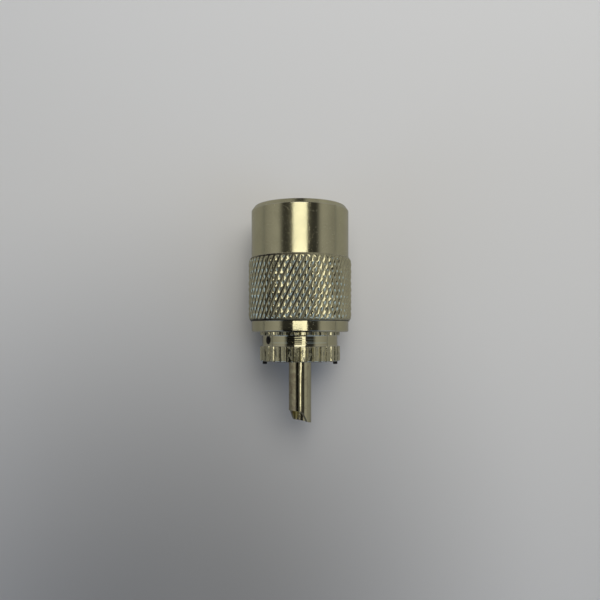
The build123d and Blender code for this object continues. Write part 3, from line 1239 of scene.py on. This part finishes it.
class MakeInsulator(bpy.types.Operator):
    """Make the insulator that holds the pin"""

    bl_idname = "antenna_plug.insulator"
    bl_label = "Insulator"

    def execute(self, context):
        sizes = context.scene.plug_core
        skin = Skin()
        corners = (
            (sizes.pin_hole, sizes.hub_start, FINE),
            (sizes.hub_radius, sizes.hub_start, MOULDED),
            (sizes.hub_radius, sizes.disc_start),
            (sizes.disc_radius, sizes.disc_start, SOFT),
            (sizes.disc_radius, sizes.disc_front, BLUNT),
            (sizes.hub_radius + 3 * sizes.moat, sizes.disc_front),
            (sizes.hub_radius + 2 * sizes.moat, sizes.disc_front - sizes.moat),
            (sizes.hub_radius, sizes.disc_front - sizes.moat),
            (sizes.hub_radius - sizes.moat, sizes.disc_front),
            (sizes.pin_hole, sizes.disc_front, EASED),
        )
        skin.zip(*skin.lathe(corners, segments=160))
        made = skin.finish("resin_insulator")
        piece("resin_insulator", made, brown_resin(), "body", "insulator")
        return {"FINISHED"}


class MakePin(bpy.types.Operator):
    """Make the hollow contact pin with its askew end and notch"""

    bl_idname = "antenna_plug.centre_pin"
    bl_label = "Contact pin"

    def execute(self, context):
        sizes = context.scene.plug_core
        finish = context.scene.plug_finishes
        plate = nickel_plate("nickel plate, pin", finish.pin_roughness, finish.pin_lines, finish.pin_spots)
        skin = Skin()
        over = sizes.tip + 2 * sizes.pin_radius
        guard = sizes.tip - sizes.notch_drop - 2 * GUARD
        corners = (
            (sizes.pin_bore, sizes.pin_start, EASED),
            (sizes.flange_radius, sizes.pin_start, EASED),
            (sizes.flange_radius, sizes.pin_start + sizes.flange_length, BROKEN),
            (sizes.pin_seat, sizes.pin_start + sizes.flange_length),
            (sizes.pin_seat, sizes.disc_front, CRISP),
            (sizes.pin_radius, sizes.disc_front),
            (sizes.pin_radius, sizes.disc_front + 2 * GUARD),
            (sizes.pin_radius, guard),
            (sizes.pin_radius, over),
            (sizes.pin_bore, over),
            (sizes.pin_bore, guard),
        )
        skin.zip(*skin.lathe(corners, segments=128))
        # Painted shade inside the bore of the pin
        bore = [vert for vert in skin.mesh.verts if vert.co.xy.length < 1.02 * sizes.pin_bore]
        skin.mark_darkening(bore, BORE_SHADE)
        made = carve(skin.finish("contact_pin"), [self.askew_block(sizes), self.notch(sizes)])
        piece("contact_pin", self.break_edges(made, sizes), plate, "body", "centre_pin")
        return {"FINISHED"}

    def askew_block(self, sizes):
        """A block whose flat underside cuts the tube off askew."""
        far = 6 * sizes.pin_radius
        block = bar(((-far, 0), (far, 0), (far, far), (-far, far)), 2 * far)
        up = Matrix.Translation((0, 0, sizes.tip))
        return moved(block, up, spun(sizes.tip_direction) @ spun(-sizes.tip_slope, "Y"))

    def notch(self, sizes):
        """A bar with a flat floor, a rounded foot and a steep side, which opens the wall at the tip."""
        far = 6 * sizes.pin_radius
        rise = far * tan(sizes.notch_side)
        corners = (
            (-far, 0),
            (-sizes.notch_edge, 0, sizes.notch_fillet),
            (far - sizes.notch_edge, rise),
            (-far, rise),
        )
        up = Matrix.Translation((0, 0, sizes.tip - sizes.notch_drop))
        return moved(bar(corners, 2 * far), up, spun(sizes.notch_direction))

    def break_edges(self, made, sizes):
        """Take the sharpness off the cut edges and mark the filed faces."""
        carrier = add_object("carrier", made)
        soft = carrier.modifiers.new("soft", "BEVEL")
        soft.width = FINE
        soft.segments = 1
        soft.limit_method = "ANGLE"
        soft.angle_limit = radians(40)
        made = settle(carrier)
        filed = made.attributes.new("filed", "FLOAT", "FACE")
        floor = sizes.tip - sizes.notch_drop - FINE
        for face, value in zip(made.polygons, filed.data):
            value.value = float(face.center.z > floor and face.normal.z > 0.1)
        return made


# Stage


# Corners of the cards beside the camera, as (x, z) in millimetres
CARD_FOOT = 21.9
CARD_TOP = 160
FIRST_CARD = ((30, CARD_FOOT), (90, CARD_FOOT), (90, CARD_TOP), (30, CARD_TOP))
SECOND_FOOT = ((-12, 31), (-12, 24), (-8, CARD_FOOT), (30, CARD_FOOT))
SECOND_CARD = (*SECOND_FOOT, (30, CARD_TOP), (1, CARD_TOP), (1, 37))
THIRD_CARD = ((-45, 37), (-18, 37), (-18, CARD_TOP), (-45, CARD_TOP))

# Z of a direction where the blue of the sky sets in, and where the light ends
SKY_FOOT = (0.17, 0.24)
SKY_TOP = (0.5, 0.68)

# The camera sees this plain grey in place of the room
BACKDROP = (0.6, 0.6, 0.6, 1.0)


class MakeStage(bpy.types.Operator):
    """Set the paper, the light and the camera"""

    bl_idname = "antenna_plug.stage"
    bl_label = "Stage"

    def execute(self, context):
        stage = context.scene.plug_stage
        self.paper(stage, context.scene.plug_ring.knurl_crest + stage.paper_gap)
        sides = (stage.key_width, stage.key_height)
        self.lamp("soft lamp", stage.key_place, sides, stage.key_power, stage.key_tint)
        sides = (stage.fill_side, stage.fill_side)
        fill = self.lamp("paper lamp", stage.fill_place, sides, stage.fill_power, (1.0, 1.0, 1.0))
        fill.visible_glossy = False
        self.card("first_card", FIRST_CARD, stage, 0.0)
        self.card("second_card", SECOND_CARD, stage, stage.card_glow)
        self.card("third_card", THIRD_CARD, stage, stage.card_glow)
        self.world(context, stage)
        self.camera(context, stage)
        context.scene.view_settings.view_transform = "Standard"
        return {"FINISHED"}

    def sheet(self, name, corners, y, material):
        """A flat sheet across the line of sight, whose corners are given as (x, z)."""
        made = bpy.data.meshes.new(name)
        made.from_pydata([(x, y, z) for x, z in corners], [], [range(len(corners))])
        made.materials.append(material)
        thing = add_object(name, made)
        return thing

    def paper(self, stage, y):
        """The sheet that the plug lies on."""
        half = stage.paper_side / 2
        low, high = stage.paper_place - half, stage.paper_place + half
        self.sheet("paper", ((-half, low), (half, low), (half, high), (-half, high)), y, pale_paper())

    def card(self, name, corners, stage, glow):
        """A card beside the camera, which shades the lamp but isn't seen itself."""
        placed = [(x * MM, z * MM) for x, z in corners]
        card = self.sheet(name, placed, -stage.card_distance, card_board(name, glow))
        card.visible_camera = False

    def lamp(self, name, place, sides, power, tint):
        """A soft lamp behind the camera, square to the line of sight."""
        data = bpy.data.lights.new(name, "AREA")
        data.shape = "RECTANGLE"
        data.size, data.size_y = sides
        data.energy = power
        data.color = tint
        thing = add_object(name, data)
        thing.location = place
        thing.rotation_euler = (radians(90), 0, 0)
        thing.visible_camera = False
        return thing

    def world(self, context, stage):
        """A pale room, darker beside the lamp and beyond the paper, with blue sky on the pin's side."""
        world = bpy.data.worlds.new("pale room")
        world.use_nodes = True
        world.node_tree.nodes.clear()
        board = Board(world.node_tree)
        x, y, z = board.split(board.node("ShaderNodeTexCoord").outputs["Generated"])
        aside = board.math("ARCTAN2", board.math("ABSOLUTE", x), board.times(y, -1.0))
        beside = board.ramp(aside, stage.shade_start, stage.shade_end, stage.shade, stage.room, smooth=True)
        behind = board.ramp(aside, stage.back_start, stage.back_end, 1.0, stage.back_share)
        room = board.times(beside, behind)
        beyond = board.ramp(aside, stage.sky_start, stage.sky_end, smooth=True)
        sky = board.times(board.ramp(z, *SKY_FOOT, smooth=True), beyond)
        fade = board.ramp(z, *SKY_TOP, 1.0, 0.02, smooth=True)
        lit = board.blend(sky, board.vector(room, room, room), opaque(stage.sky))
        lit = board.blend(fade, BLACK, lit)
        seen = board.node("ShaderNodeLightPath").outputs["Is Camera Ray"]
        back = board.call("ShaderNodeBackground", board.blend(seen, lit, BACKDROP))
        board.feed(board.node("ShaderNodeOutputWorld").inputs["Surface"], back)
        context.scene.world = world

    def camera(self, context, stage):
        """The camera of the photograph, looking down on the plug."""
        data = bpy.data.cameras.new("camera")
        data.lens = stage.lens
        data.sensor_width = 36.0
        data.clip_start = 0.001
        data.clip_end = 10.0
        data.shift_y = stage.camera_shift
        thing = add_object("camera", data)
        right, up, back = Vector((-1, 0, 0)), Vector((0, 0, -1)), Vector((0, -1, 0))
        looking = Matrix((right, up, back)).transposed().to_4x4()
        thing.matrix_world = Matrix.Translation((0, -stage.camera_distance, stage.camera_place)) @ looking
        context.scene.camera = thing


class PlugPanel(bpy.types.Panel):
    """Lists the pieces of the plug and their sizes"""

    bl_idname = "VIEW3D_PT_antenna_plug"
    bl_label = "Antenna plug"
    bl_space_type = "VIEW_3D"
    bl_region_type = "UI"
    bl_category = "Antenna plug"

    def draw(self, context):
        for maker in MAKERS:
            self.layout.operator(maker.bl_idname)
        for title, store, kind in STORES:
            box = self.layout.box()
            box.label(text=title)
            for name in kind.__annotations__:
                box.prop(getattr(context.scene, store), name)


MAKERS = (MakeRing, MakeBody, MakeInsulator, MakePin, MakeStage)
STORES = (
    ("Threads", "plug_threads", ThreadSizes),
    ("Coupling ring", "plug_ring", RingSizes),
    ("Plug body", "plug_body", BodySizes),
    ("Insulator and pin", "plug_core", CoreSizes),
    ("Finishes", "plug_finishes", Finishes),
    ("Stage", "plug_stage", StageSettings),
)


def register():
    for title, store, kind in STORES:
        bpy.utils.register_class(kind)
        setattr(bpy.types.Scene, store, PointerProperty(type=kind))
    for kind in (*MAKERS, PlugPanel):
        bpy.utils.register_class(kind)


def unregister():
    for kind in (PlugPanel, *reversed(MAKERS)):
        bpy.utils.unregister_class(kind)
    for title, store, kind in reversed(STORES):
        delattr(bpy.types.Scene, store)
        bpy.utils.unregister_class(kind)


def main():
    register()
    bpy.ops.antenna_plug.coupling_ring()
    bpy.ops.antenna_plug.plug_body()
    bpy.ops.antenna_plug.insulator()
    bpy.ops.antenna_plug.centre_pin()
    bpy.ops.antenna_plug.stage()


if __name__ == "__main__":
    main()
